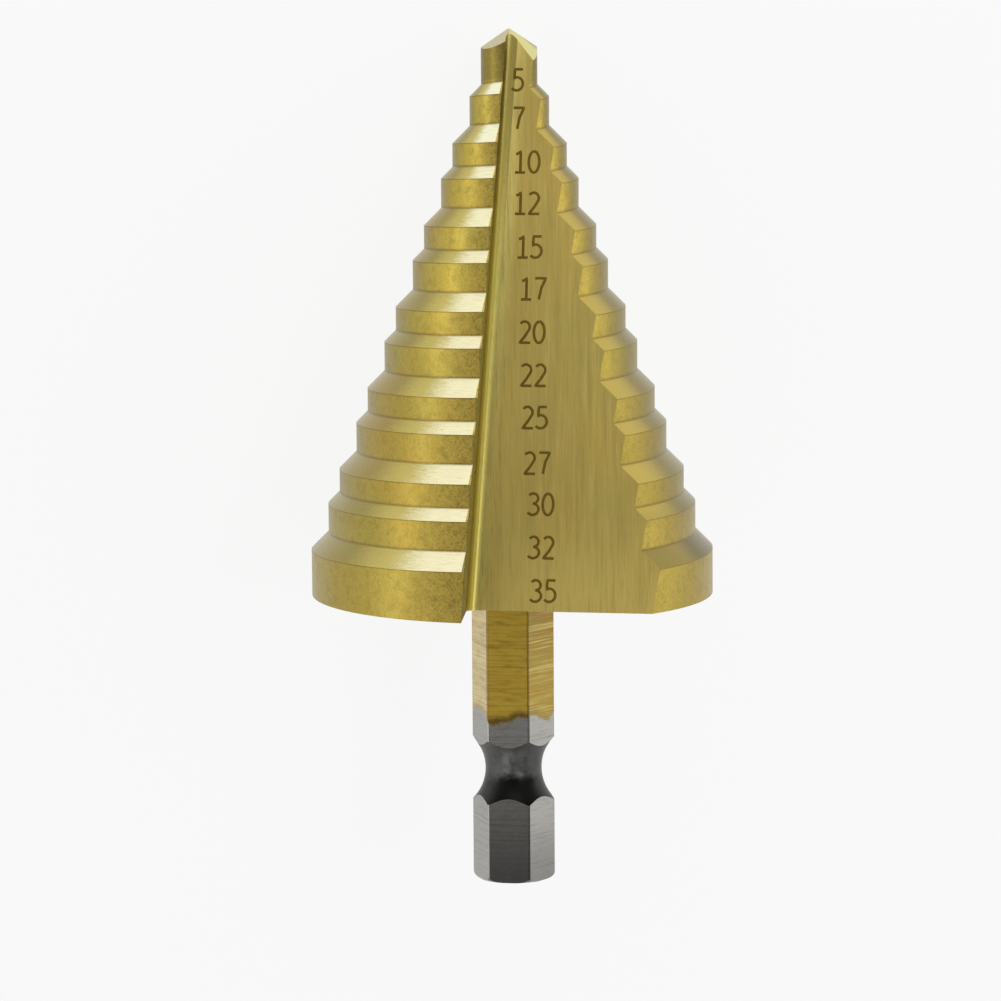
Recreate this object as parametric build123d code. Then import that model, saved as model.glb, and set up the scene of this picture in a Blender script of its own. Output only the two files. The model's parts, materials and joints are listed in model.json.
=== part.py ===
from build123d import *
import itertools
import math
import os

# Step drill: one piece of high-speed steel with a hexagon shank, a cone of steps and two chip flutes.
# Millimetres and degrees. The drill is made standing on its shank, with its axis on Z and its point
# up, and is then laid down as it comes to rest, across one flute, with its point towards +Y.
# The front is -Y. Directions in plan are turned from +X towards +Y, as seen from the point.

# Lengths along the axis. The shank takes what the steps leave of the overall length.
OVERALL_LENGTH = 74.0
STEP_PITCH = 3.5
PILOT_LAND = 3.38
LAST_LAND = 4.3

# Steps, as diameters at the cutting edge, from the point down.
STEP_DIAMETERS = [5, 7, 10, 12, 15, 17, 20, 22, 25, 27, 30, 32, 35]
CHAMFER_ANGLE = 45.0

# Cam relief: how far a whole turn behind the edge would bring the steps in, and back to the shank.
RADIAL_RELIEF_PER_TURN = 0.38
AXIAL_RELIEF_PER_TURN = 1.75

# Flute walls. The rake face carries the cutting edges, and the number face is the wide wall.
# A direction is the way a wall faces in plan. An offset is taken from the axis at the foot of
# the steps: the rake face lies behind the axis, and the number face in front of it.
RAKE_DIRECTION = -3.5
RAKE_OFFSET = 3.25
RAKE_LEAN = 3.7
NUMBER_FACE_DIRECTION = -99.8
NUMBER_FACE_OFFSET = 10.4
NUMBER_FACE_LEAN = 12.0
FLUTE_RADIUS = 0.85

# Point: the lips, the clearance behind them, and a steeper facet that takes the heel away. The
# facet would pass the axis a little above the apex, so that it leaves the chisel edge whole.
POINT_ANGLE = 135.0
POINT_CLEARANCE = 28.5
HEEL_FACET_DIRECTION = -43.0
HEEL_FACET_SLOPE = 51.5
HEEL_FACET_ABOVE_APEX = 0.25

# Shank: a hexagon turned down at its corners, with a groove for a quick-change chuck.
HEX_SIDES = 6
HEX_ACROSS_FLATS = 6.3
HEX_CORNER_TRIM = 0.05
HEX_DIRECTION = -98.4
END_RADIUS = 0.45
GROOVE_DIAMETER = 4.9
GROOVE_RADIUS = 4.0
GROOVE_CENTRE = 9.7

# How the lobes are swept: their flutes lie between the seams, and the web joins them inside.
LOBE_COUNT = 2
SEAM_AHEAD = 25.0
SECTIONS_PER_LOBE = 9
WEB_CORE_RADIUS = 1.5
LOBE_INNER_RADIUS = 1.0
CUTTER_SIZE = 4 * max(STEP_DIAMETERS)
OVERRUN = 5.0

# How far round from the middle of a flute its own corners reach, where along its edges the drill
# is felt for the floor, and how near counts as touching.
HALF_FLUTE_COSINE = math.cos(math.radians(45))
EDGE_SHARES = (0.25, 0.5, 0.75)
LENGTH_TOLERANCE = 0.0001

step_radii = [diameter / 2 for diameter in STEP_DIAMETERS]
point_height = step_radii[0] / math.tan(math.radians(POINT_ANGLE / 2))
chamfer_starts = [
    OVERALL_LENGTH - point_height - PILOT_LAND - STEP_PITCH * step
    for step in range(len(step_radii) - 1)
]
chamfer_ends = [
    start - (larger - smaller) / math.tan(math.radians(CHAMFER_ANGLE))
    for start, smaller, larger in zip(chamfer_starts, step_radii, step_radii[1:])
]
foot = chamfer_ends[-1] - LAST_LAND
foot_centre = Vector(0, 0, foot)
apex = Vector(0, 0, OVERALL_LENGTH)


def facing(direction, rise):
    """The unit vector that looks in a direction in plan and rises above the horizontal."""
    turn = math.radians(direction)
    tilt = math.radians(rise)
    return Vector(
        math.cos(turn) * math.cos(tilt),
        math.sin(turn) * math.cos(tilt),
        math.sin(tilt),
    )


rake_normal = facing(RAKE_DIRECTION, -RAKE_LEAN)
rake_point = foot_centre - rake_normal * RAKE_OFFSET
number_normal = facing(NUMBER_FACE_DIRECTION, NUMBER_FACE_LEAN)
number_point = foot_centre + number_normal * NUMBER_FACE_OFFSET


def wall_meets(point, normal, radius, height):
    """The two directions in plan at which a flat wall meets a circle about the axis."""
    across = math.hypot(normal.X, normal.Y) * radius
    middle = math.degrees(math.atan2(normal.Y, normal.X))
    spread = math.degrees(math.acos((point - Vector(0, 0, height)).dot(normal) / across))
    return middle - spread, middle + spread


def edge_direction(radius, height):
    """The direction in plan of the cutting edge on a step of this radius."""
    return wall_meets(rake_point, rake_normal, radius, height)[0]


def heel_direction(radius, height):
    """The direction in plan of the heel, where the number face meets this radius."""
    return wall_meets(number_point, number_normal, radius, height)[1]


def lobe_section(behind):
    """One radial half section of a lobe, some degrees behind its cutting edge."""
    inward = RADIAL_RELIEF_PER_TURN * behind / 360
    down = AXIAL_RELIEF_PER_TURN * behind / 360
    points = [(LOBE_INNER_RADIUS, foot), (step_radii[-1] - inward, foot)]
    for step in reversed(range(len(chamfer_starts))):
        points.append((step_radii[step + 1] - inward, chamfer_ends[step] - down))
        points.append((step_radii[step] - inward, chamfer_starts[step] - down))
    top = OVERALL_LENGTH + OVERRUN
    points += [(step_radii[0] - inward, top), (LOBE_INNER_RADIUS, top)]
    outward = facing(edge_direction(step_radii[-1], foot) - behind, 0)
    plane = Plane(origin=(0, 0, 0), x_dir=outward, z_dir=outward.cross(Vector(0, 0, 1)))
    return plane * make_face(Polyline(*points, close=True))


def half_space(point, normal):
    """A block on the far side of the plane that faces this way."""
    corner = (Align.CENTER, Align.CENTER, Align.MIN)
    return Plane(origin=point, z_dir=normal) * Box(CUTTER_SIZE, CUTTER_SIZE, CUTTER_SIZE, align=corner)


def around(shape):
    """The same shape for every lobe."""
    return [Rot(0, 0, 360 * lobe / LOBE_COUNT) * shape for lobe in range(LOBE_COUNT)]


def make_lobes():
    """The stepped cone before its flutes: two relieved halves joined through the web."""
    span = 360 / LOBE_COUNT
    angles = [
        -SEAM_AHEAD + span * place / (SECTIONS_PER_LOBE - 1)
        for place in range(SECTIONS_PER_LOBE)
    ]
    lobe = loft([lobe_section(behind) for behind in angles])
    core_height = OVERALL_LENGTH + OVERRUN - foot
    core = Pos(0, 0, foot) * Cylinder(
        WEB_CORE_RADIUS, core_height, align=(Align.CENTER, Align.CENTER, Align.MIN)
    )
    return core + around(lobe)


def meeting_point(*planes):
    """The point where three planes meet, each given as a point and a normal."""
    (first, a), (second, b), (third, c) = planes
    total = b.cross(c) * first.dot(a) + c.cross(a) * second.dot(b) + a.cross(b) * third.dot(c)
    return total * (1 / a.dot(b.cross(c)))


def make_flute_cutter():
    """The V between the rake face and the number face, with a round valley, along its own run."""
    run = rake_normal.cross(number_normal).normalized()
    number_wall = number_normal.cross(run).normalized() * CUTTER_SIZE
    rake_wall = run.cross(rake_normal).normalized() * CUTTER_SIZE
    valley = meeting_point(
        (rake_point, rake_normal),
        (number_point, number_normal),
        (foot_centre, Vector(0, 0, 1)),
    )
    outline = [valley, valley + number_wall, valley + number_wall + rake_wall, valley + rake_wall]
    section = make_face(Polyline(*outline, close=True))
    root = section.vertices().sort_by_distance(valley)[0]
    return extrude(fillet(root, FLUTE_RADIUS), CUTTER_SIZE, dir=run, both=True)


def make_point_cutters():
    """What is ground off one lobe at the point: the slope behind its lip, and its heel."""
    lip = edge_direction(step_radii[0], OVERALL_LENGTH - point_height)
    fall = facing(lip, 0) / math.tan(math.radians(POINT_ANGLE / 2))
    clearance = facing(lip - 90, 0) * math.tan(math.radians(POINT_CLEARANCE))
    flank = half_space(apex, (Vector(0, 0, 1) + fall + clearance).normalized())
    above_apex = apex + Vector(0, 0, HEEL_FACET_ABOVE_APEX)
    heel = half_space(above_apex, facing(HEEL_FACET_DIRECTION, 90 - HEEL_FACET_SLOPE))
    return flank, heel & half_space(rake_point, rake_normal)


def make_shank():
    """The hexagon, round at its corners and its end, with the groove turned into it."""
    length = foot + OVERRUN / 2
    flat_distance = HEX_ACROSS_FLATS / 2
    half_side = 180 / HEX_SIDES
    corner_radius = flat_distance / math.cos(math.radians(half_side)) - HEX_CORNER_TRIM
    envelope = Cylinder(corner_radius, length, align=(Align.CENTER, Align.CENTER, Align.MIN))
    envelope = fillet(envelope.edges().sort_by(Axis.Z)[0], END_RADIUS)
    hexagon = RegularPolygon(
        flat_distance, HEX_SIDES, major_radius=False, rotation=HEX_DIRECTION + half_side
    )
    groove_reach = GROOVE_DIAMETER / 2 + GROOVE_RADIUS
    groove = Pos(0, 0, GROOVE_CENTRE) * Torus(groove_reach, GROOVE_RADIUS)
    return (envelope & extrude(hexagon, length)) - groove


def make_drill():
    """The whole drill, standing on its shank."""
    flank, heel = make_point_cutters()
    ground = make_lobes() - around(make_flute_cutter())
    ground = ground - around(flank) - around(heel)
    return ground + make_shank()


def resting_corners(drill):
    """The three corners that it lies on, the trio that lets its weight down lowest.

    No place on its edges is below them, and its weight falls between them.
    """
    largest = step_radii[-1]
    flute_middle = (edge_direction(largest, foot) + heel_direction(largest, foot)) / 2
    lower_flute = facing(flute_middle + 360 / LOBE_COUNT, 0)
    corners = [corner.center() for corner in drill.vertices()]
    outline = corners + [edge.position_at(share) for edge in drill.edges() for share in EDGE_SHARES]
    at_flute = [
        corner
        for corner in corners
        if corner.dot(lower_flute) > HALF_FLUTE_COSINE * math.hypot(corner.X, corner.Y)
    ]
    weight = drill.center(CenterOf.MASS)
    resting = []
    for trio in itertools.combinations(at_flute, 3):
        normal = (trio[1] - trio[0]).cross(trio[2] - trio[0])
        if normal.length < LENGTH_TOLERANCE:
            continue
        down = normal.normalized() * math.copysign(1, normal.dot(trio[0] - weight))
        level = down.dot(trio[0]) + LENGTH_TOLERANCE
        if any(down.dot(place) > level for place in outline):
            continue
        sides = [
            (end - start).cross(weight - start).dot(normal) > 0
            for start, end in zip(trio, trio[1:] + trio[:1])
        ]
        if all(sides):
            resting.append((down.dot(trio[0] - weight), trio, down))
    if not resting:
        raise ValueError("no three corners at the lower flute hold the drill")
    return min(resting, key=lambda place: place[0])[1:]


def resting_floor(drill):
    """The floor that the drill lies on, seen from the drill, with the point towards its +Y."""
    trio, down = resting_corners(drill)
    along = (Vector(0, 0, 1) - down * down.Z).normalized()
    return Plane(origin=trio[0], x_dir=down.cross(along), z_dir=-down)


def show_mounting_places(floor, shift):
    """Prints where the shank lies, for whoever fastens the drill."""
    grip_height = (GROOVE_CENTRE + GROOVE_RADIUS + foot) / 2
    hex_side = facing(HEX_DIRECTION, 0)
    hex_face = hex_side * (HEX_ACROSS_FLATS / 2) + Vector(0, 0, grip_height)
    places = {"shank end": Vector(0, 0, 0), "hexagon face": hex_face, "point": apex}
    for name, place in places.items():
        print(name, floor.to_local_coords(place) - shift)
    foot_on_floor = floor.to_local_coords(Vector(0, 0, 0))
    print("shank end faces", floor.to_local_coords(Vector(0, 0, -1)) - foot_on_floor)
    print("hexagon face faces", floor.to_local_coords(hex_side) - foot_on_floor)


drill = make_drill()
floor = resting_floor(drill)
on_floor = floor.to_local_coords(drill)
middle = on_floor.bounding_box().center()
shift = Vector(middle.X, middle.Y, 0)
laid = Pos(-shift) * on_floor
os.makedirs("parts", exist_ok=True)
export_step(laid.solid(), "parts/step_drill.step")
show_mounting_places(floor, shift)
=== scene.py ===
import json
import math

import bmesh
import bpy
from bpy.props import FloatProperty, FloatVectorProperty, PointerProperty
from mathutils import Matrix, Vector
from mathutils.bvhtree import BVHTree


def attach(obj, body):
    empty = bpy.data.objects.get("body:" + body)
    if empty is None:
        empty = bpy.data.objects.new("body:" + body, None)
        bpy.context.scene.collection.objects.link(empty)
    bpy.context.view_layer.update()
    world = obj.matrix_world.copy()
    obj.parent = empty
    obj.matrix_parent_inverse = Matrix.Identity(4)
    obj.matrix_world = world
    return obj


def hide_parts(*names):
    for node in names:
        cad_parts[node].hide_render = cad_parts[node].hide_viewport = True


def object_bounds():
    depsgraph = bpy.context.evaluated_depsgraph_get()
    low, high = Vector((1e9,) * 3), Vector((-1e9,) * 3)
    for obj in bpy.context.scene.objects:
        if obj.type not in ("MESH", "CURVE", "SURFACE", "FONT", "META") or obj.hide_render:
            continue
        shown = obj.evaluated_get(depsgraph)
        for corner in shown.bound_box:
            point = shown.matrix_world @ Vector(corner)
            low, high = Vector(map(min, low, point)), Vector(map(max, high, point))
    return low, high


bl_info = {
    "name": "Step Drill",
    "version": (1, 0, 0),
    "blender": (4, 5, 0),
    "location": "3D View > Sidebar > Step Drill",
    "description": "Finishes a gold-coated step drill and lights it on a pale floor",
    "category": "Add Mesh",
}

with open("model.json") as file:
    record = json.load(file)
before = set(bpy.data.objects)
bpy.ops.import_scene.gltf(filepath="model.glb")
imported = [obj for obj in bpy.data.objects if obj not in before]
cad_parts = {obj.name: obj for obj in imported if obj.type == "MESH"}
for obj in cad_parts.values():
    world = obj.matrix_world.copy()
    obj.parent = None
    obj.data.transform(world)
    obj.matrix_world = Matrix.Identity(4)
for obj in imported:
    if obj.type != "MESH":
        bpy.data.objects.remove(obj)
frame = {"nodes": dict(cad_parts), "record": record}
CAD_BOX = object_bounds()

MM = 0.001

# The drill's own frame, from its mounting faces: Z runs from the shank's end to the point, and
# plan directions are turned from X towards Y. The middle face of the hexagon shows which way it lies.
MOUNTS = {mount["name"]: mount for mount in frame["record"]["mounts"]}
SHANK_END = Vector(MOUNTS["shank_end"]["pos_m"])
AXIS = -Vector(MOUNTS["shank_end"]["axis"]).normalized()
HEX_FACE = Vector(MOUNTS["hex_face"]["axis"]).normalized()
HEX_DIRECTION = -98.4
HEX_TURN = 60.0

# Where the surfaces of the drill lie, in millimetres and degrees in that frame.
FOOT = 25.28
POINT_START = 72.7
FIRST_CHAMFER = 69.58
STEP_PITCH = 3.5
CHAMFER_COUNT = 12
CHAMFER_HEIGHTS = (1.0, 1.5)
AXIAL_RELIEF_PER_DEGREE = 1.75 / 360
RAKE_DIRECTION = -3.5
RAKE_LEAN = 3.7
RAKE_OFFSET = 3.25
NUMBER_FACE_DIRECTION = -99.8
NUMBER_FACE_LEAN = 12.0
NUMBER_FACE_OFFSET = 10.4
CUTTING_EDGE_DIRECTION = -104.0
FLUTE_RADIUS = 0.85
GROOVE_CENTRE = 9.7
GROOVE_HALF_LENGTH = 3.4

# How the body's surfaces are told apart. In millimetres: a slack, and the distance from the axis
# that only the groove lies within. Of a face's unit normal: how far it follows a wall's normal on
# that wall or in the valley beside it, and how much it rises in the groove, at the point, on a
# chamfer and on the base.
SLACK = 0.01
GROOVE_WITHIN = 3.12
ON_WALL = 0.9995
IN_VALLEY = -0.13
GROOVE_RISE = 0.02
POINT_RISE = 0.2
CHAMFER_RISE = 0.5
BASE_RISE = -0.99

# Neighbouring faces that turn by less than this lie in one plane and are joined.
FLAT_ANGLE = math.radians(0.05)

# How far above its wall the search for the body's surface under a mark starts, and how far it goes
# down, in millimetres.
SEARCH_ABOVE = 2.0
SEARCH_DEPTH = 2.5

# Where the hexagon passes from one face to the next, as the cosine of the turn from a face's middle,
# and where its flat end gives way to its faces, as a distance from the axis in millimetres.
FACE_END = 0.855
FACE_FULL = 0.88
END_FLAT = 2.75
END_FACES = 3.1

# The coating's end rises and falls this often round the shank, by this much in millimetres, and is highest
# in this direction. The groove's painted shade and painted highlights are strongest in a direction of their
# own.
FILM_WAVES = 4.0
FILM_WAVE_HEIGHT = 0.35
FILM_WAVE_DIRECTION = -75.0
GROOVE_SHADE_DIRECTION = HEX_DIRECTION + 15.0

# Each step number with the left side and the middle height of its digits on the number face, in
# millimetres from the foot of the perpendicular that the middle of the base drops to it.
STEP_NUMBERS = {
    5: (0.48, 43.17),
    7: (0.59, 39.85),
    10: (0.84, 36.11),
    12: (0.94, 32.56),
    15: (1.28, 28.81),
    17: (1.67, 25.23),
    20: (1.70, 21.53),
    22: (1.92, 17.86),
    25: (2.15, 14.25),
    27: (2.44, 10.37),
    30: (2.88, 6.89),
    32: (3.02, 3.22),
    35: (3.30, -0.46),
}

# Each lamp with its place about the middle of the drill and its two sides, and the half side of the
# floor, all in diagonals of the drill's box.
SOFTBOXES = {
    "left": ((-4.0, -0.5, 0.5), (3.0, 1.4)),
    "right": ((4.0, 0.9, 0.8), (2.2, 1.4)),
    "point": ((-0.6, 4.0, 1.4), (3.0, 2.0)),
    "top": ((0.9, 1.1, 3.7), (1.0, 1.0)),
}
FLOOR_REACH = 60

# The sines of the heights in the sky where the white starts to fade and where the ceiling is reached.
CEILING_START = 0.56
CEILING_FULL = 0.88

# The camera's sensor in millimetres, and the nearest and furthest that it sees in metres.
SENSOR_WIDTH = 36.0
NEAREST_SEEN = 0.01
FURTHEST_SEEN = 20.0


def drill_to_row():
    """The matrix from the drill's own frame, in metres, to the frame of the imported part."""
    turn = math.radians(HEX_DIRECTION)
    beside = AXIS.cross(HEX_FACE)
    x_axis = HEX_FACE * math.cos(turn) - beside * math.sin(turn)
    y_axis = AXIS.cross(x_axis)
    placed = Matrix((x_axis, y_axis, AXIS)).transposed().to_4x4()
    placed.translation = SHANK_END
    return placed


LAID = drill_to_row()


def facing(direction, rise):
    """The unit vector, in the drill's frame, at a direction in plan and a rise above it."""
    turn = math.radians(direction)
    tilt = math.radians(rise)
    across = math.cos(tilt)
    return Vector((math.cos(turn) * across, math.sin(turn) * across, math.sin(tilt)))


RAKE_NORMAL = facing(RAKE_DIRECTION, -RAKE_LEAN)
NUMBER_NORMAL = facing(NUMBER_FACE_DIRECTION, NUMBER_FACE_LEAN)

# How far the round of a flute's valley reaches from each of its two walls, in millimetres.
VALLEY_REACH = FLUTE_RADIUS * (1.0 - RAKE_NORMAL.dot(NUMBER_NORMAL))


def shaded(color, *shares):
    """A colour with each channel scaled, by one share or by a share of its own."""
    shares = shares * 3 if len(shares) == 1 else shares
    return tuple(min(1.0, channel * share) for channel, share in zip(color, shares))


class Wire:
    """An output of a node. Arithmetic on it adds the Math node that works it out."""

    def __init__(self, finish, socket):
        self.finish = finish
        self.socket = socket

    def __add__(self, other):
        return self.finish.math("ADD", self, other)

    __radd__ = __add__

    def __sub__(self, other):
        return self.finish.math("SUBTRACT", self, other)

    def __rsub__(self, other):
        return self.finish.math("SUBTRACT", other, self)

    def __mul__(self, other):
        return self.finish.math("MULTIPLY", self, other)

    __rmul__ = __mul__

    def __neg__(self):
        return self.finish.math("MULTIPLY", self, -1.0)

    def __truediv__(self, other):
        return self.finish.math("DIVIDE", self, other)

    def __rtruediv__(self, other):
        return self.finish.math("DIVIDE", other, self)


class Finish:
    """A node tree being built. Every node comes from node(), and sums of values from Wire."""

    def __init__(self, owner):
        self.owner = owner
        owner.use_nodes = True
        self.tree = owner.node_tree
        self.tree.nodes.clear()

    def node(self, kind, settings=None, inputs=None, output=0):
        """Adds a node, sets it up, fills or links its inputs and returns one of its outputs."""
        made = self.tree.nodes.new(kind)
        for name, value in (settings or {}).items():
            setattr(made, name, value)
        for name, value in (inputs or {}).items():
            socket = made.inputs[name]
            if isinstance(value, Wire):
                self.tree.links.new(value.socket, socket)
            elif socket.type == "RGBA":
                socket.default_value = (*value, 1.0)
            else:
                socket.default_value = value
        return Wire(self, made.outputs[output]) if made.outputs else None

    def math(self, operation, *values):
        """One step of arithmetic on numbers and wires."""
        return self.node("ShaderNodeMath", {"operation": operation}, dict(enumerate(values)))

    def ramp(self, value, low, high, smooth=True):
        """0 where a value is below low, 1 where it is above high, and a steady rise between."""
        kind = "SMOOTHSTEP" if smooth else "LINEAR"
        inputs = {"Value": value, "From Min": low, "From Max": high}
        return self.node("ShaderNodeMapRange", {"interpolation_type": kind}, inputs)

    def band(self, value, rise, full, fall, end):
        """0 below rise, 1 from full to fall, and 0 again above end."""
        return self.ramp(value, rise, full) * (1.0 - self.ramp(value, fall, end))

    def mix(self, factor, first, second):
        """Blends two colours."""
        settings = {"data_type": "RGBA", "clamp_factor": True}
        return self.node("ShaderNodeMix", settings, {0: factor, 6: first, 7: second}, output=2)

    def drill_place(self):
        """The place on the drill in its own frame, in millimetres."""
        there = self.node("ShaderNodeTexCoord", output="Object")
        inputs = {
            "Vector": there,
            "Location": LAID.translation,
            "Rotation": LAID.to_euler(),
            "Scale": (MM, MM, MM),
        }
        return self.node("ShaderNodeMapping", {"vector_type": "TEXTURE"}, inputs)

    def parts_of(self, vector):
        """The three numbers of a vector."""
        split = self.node("ShaderNodeSeparateXYZ", None, {0: vector})
        return [Wire(self, socket) for socket in split.socket.node.outputs]

    def joined(self, x, y, z):
        """A vector made of three numbers."""
        return self.node("ShaderNodeCombineXYZ", None, {0: x, 1: y, 2: z})

    def noise(self, vector, scale, detail=3.0, roughness=0.55, distortion=0.0):
        """Cloudy noise from 0 to 1."""
        inputs = {
            "Vector": vector,
            "Scale": scale,
            "Detail": detail,
            "Roughness": roughness,
            "Distortion": distortion,
        }
        return self.node("ShaderNodeTexNoise", {"noise_dimensions": "3D"}, inputs)

    def bump(self, height, distance):
        """A normal from a height, where distance is in metres for a height of 1."""
        return self.node("ShaderNodeBump", None, {"Height": height, "Distance": distance})

    def metal(self, color, roughness, normal):
        """Ends the tree in a metal surface."""
        inputs = {
            "Base Color": color,
            "Metallic": 1.0,
            "Roughness": roughness,
            "Normal": normal,
        }
        surface = self.node("ShaderNodeBsdfPrincipled", None, inputs)
        self.node("ShaderNodeOutputMaterial", None, {"Surface": surface})


def new_finish(name):
    """The empty node tree of a new material."""
    return Finish(bpy.data.materials.new(name))


def film_clouds(finish, place, color):
    """The film's colour with the slow drift in tint that a coating furnace leaves."""
    slow = finish.noise(place, 0.12, detail=2.0)
    drift = finish.noise(place, 0.5, detail=3.0)
    warm = shaded(color, 1.05, 0.98, 0.88)
    green = shaded(color, 0.95, 0.99, 0.95)
    tinted = finish.mix(finish.ramp(slow, 0.35, 0.65), warm, green)
    return finish.mix(finish.ramp(drift, 0.45, 0.7) * 0.5, tinted, shaded(color, 1.06, 1.05, 1.12))


def behind_edge(finish, x, y):
    """How many degrees a place lies behind the cutting edge of its own lobe."""
    turn = math.radians(CUTTING_EDGE_DIRECTION)
    along = x * math.cos(turn) + y * math.sin(turn)
    across = x * math.sin(turn) - y * math.cos(turn)
    angle = finish.math("ARCTAN2", across, along) * (180.0 / math.pi)
    return finish.math("WRAP", angle, 180.0, 0.0)


def near_ring(finish, height, first, pitch, count, width):
    """1 at the nearest of some level rings, from the first down, and 0 from a width away."""
    fall = (first - height) / pitch
    nearest = finish.math("MINIMUM", finish.math("ROUND", fall), count - 1.0)
    away = finish.math("ABSOLUTE", fall - finish.math("MAXIMUM", nearest, 0.0)) * pitch
    return 1.0 - finish.ramp(away, 0.0, width)


def inner_corners(finish, height, width):
    """Where a land runs into the chamfer below it."""
    return near_ring(finish, height, FIRST_CHAMFER, STEP_PITCH, CHAMFER_COUNT, width)


def outer_corners(finish, height, width):
    """Where a chamfer ends on the land below it. Low and high chamfers take turns."""
    total = 0.0
    for turn, chamfer in enumerate(CHAMFER_HEIGHTS):
        first = FIRST_CHAMFER - turn * STEP_PITCH - chamfer
        pitch = STEP_PITCH * len(CHAMFER_HEIGHTS)
        count = CHAMFER_COUNT / len(CHAMFER_HEIGHTS)
        total = near_ring(finish, height, first, pitch, count, width) + total
    return total


def from_rake(finish, x, y, z):
    """How far a place in either flute is from its rake face, in millimetres."""
    side = finish.math("SIGN", x * NUMBER_NORMAL.x + y * NUMBER_NORMAL.y)
    along = (x * RAKE_NORMAL.x + y * RAKE_NORMAL.y) * side
    return along + (z - FOOT) * RAKE_NORMAL.z + RAKE_OFFSET


def hex_face_share(finish, x, y, direction):
    """1 on the face of the hexagon that looks in a direction in plan, and 0 elsewhere."""
    turn = math.radians(direction)
    radius = finish.math("SQRT", x * x + y * y)
    towards = (x * math.cos(turn) + y * math.sin(turn)) / radius
    return finish.ramp(towards, FACE_END, FACE_FULL) * finish.ramp(radius, END_FLAT, END_FACES)


def land_finish(look):
    """The round lands of the steps: coated over a fine grain, browned near the cutting edge, with painted
    light and shade in bands round each lobe and painted shade in the corners.
    """
    finish = new_finish("coated_land")
    place = finish.drill_place()
    x, y, z = finish.parts_of(place)
    behind = behind_edge(finish, x, y)
    height = z + behind * AXIAL_RELIEF_PER_DEGREE
    grain = finish.noise(place, 5.0, detail=5.0, roughness=0.75)
    blotch = finish.noise(place, 1.3, detail=4.0, roughness=0.65, distortion=0.4)
    near = 1.0 - finish.ramp(behind + (blotch - 0.5) * 14.0, 1.0, 16.0)
    # Masks for painted shade along the lobe's side and for a painted highlight on the upper lands.
    side = finish.band(behind, 40.0, 70.0, 96.0, 112.0) * finish.ramp(z, FOOT + 4.0, FOOT + 10.0)
    painted_highlight = finish.band(behind, 12.0, 24.0, 32.0, 52.0) * finish.ramp(z, FOOT + 16.0, FOOT + 28.0)
    tip = finish.ramp(height, FIRST_CHAMFER, FIRST_CHAMFER + 0.4)
    # The film with painted light and shade in bands behind the cutting edge: a painted highlight just behind
    # it and across the upper lands, painted shade along the lobe's side, and lighter or darker at the lobe's
    # far end by height; and darker on the pilot above the first chamfer.
    color = film_clouds(finish, place, look.film_color)
    color = finish.mix(near * 0.8, color, shaded(look.film_color, 1.55, 1.5, 1.5))
    upper = finish.ramp(z, FOOT + 3.0, FOOT + 14.0)
    lobe_end = finish.mix(upper, shaded(look.film_color, 1.3), shaded(look.film_color, 0.92, 0.92, 0.86))
    color = finish.mix(finish.ramp(behind, 100.0, 122.0) * 0.8, color, lobe_end)
    color = finish.mix(side * 0.6, color, shaded(look.film_color, 0.6, 0.62, 0.8))
    color = finish.mix(painted_highlight * 0.6, color, shaded(look.film_color, 1.5, 1.5, 1.25))
    color = finish.mix(tip * 0.7, color, shaded(look.film_color, 0.45, 0.45, 0.6))
    # Blotches and grain, brown film by the cutting edge, and painted shade in the corners where lands and
    # chamfers meet.
    color = finish.mix(finish.ramp(blotch, 0.45, 0.72) * 0.5, color, shaded(look.film_color, 0.68))
    color = finish.mix(finish.ramp(grain, 0.5, 0.72) * 0.6, color, shaded(look.film_color, 0.5))
    color = finish.mix(finish.ramp(0.5 - grain, 0.03, 0.2) * 0.5, color, shaded(look.film_color, 1.4))
    browned = near * (0.06 + finish.ramp(grain, 0.42, 0.65) * 0.45)
    color = finish.mix(browned, color, look.brown_color)
    corner = inner_corners(finish, height, 0.25) * (0.4 + grain * 0.55)
    corner = finish.math("MAXIMUM", corner, outer_corners(finish, height, 0.14) * (0.5 + grain * 0.5))
    color = finish.mix(corner, color, look.brown_color)
    rings = finish.noise(finish.joined(x * 0.05, y * 0.05, z), 12.0, detail=3.0)
    relief = grain * 0.7 + rings * 0.3
    roughness = look.film_roughness + (blotch - 0.5) * 0.14 + near * 0.05
    finish.metal(color, roughness, finish.bump(relief, 0.007 * MM))
    return finish.owner


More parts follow.
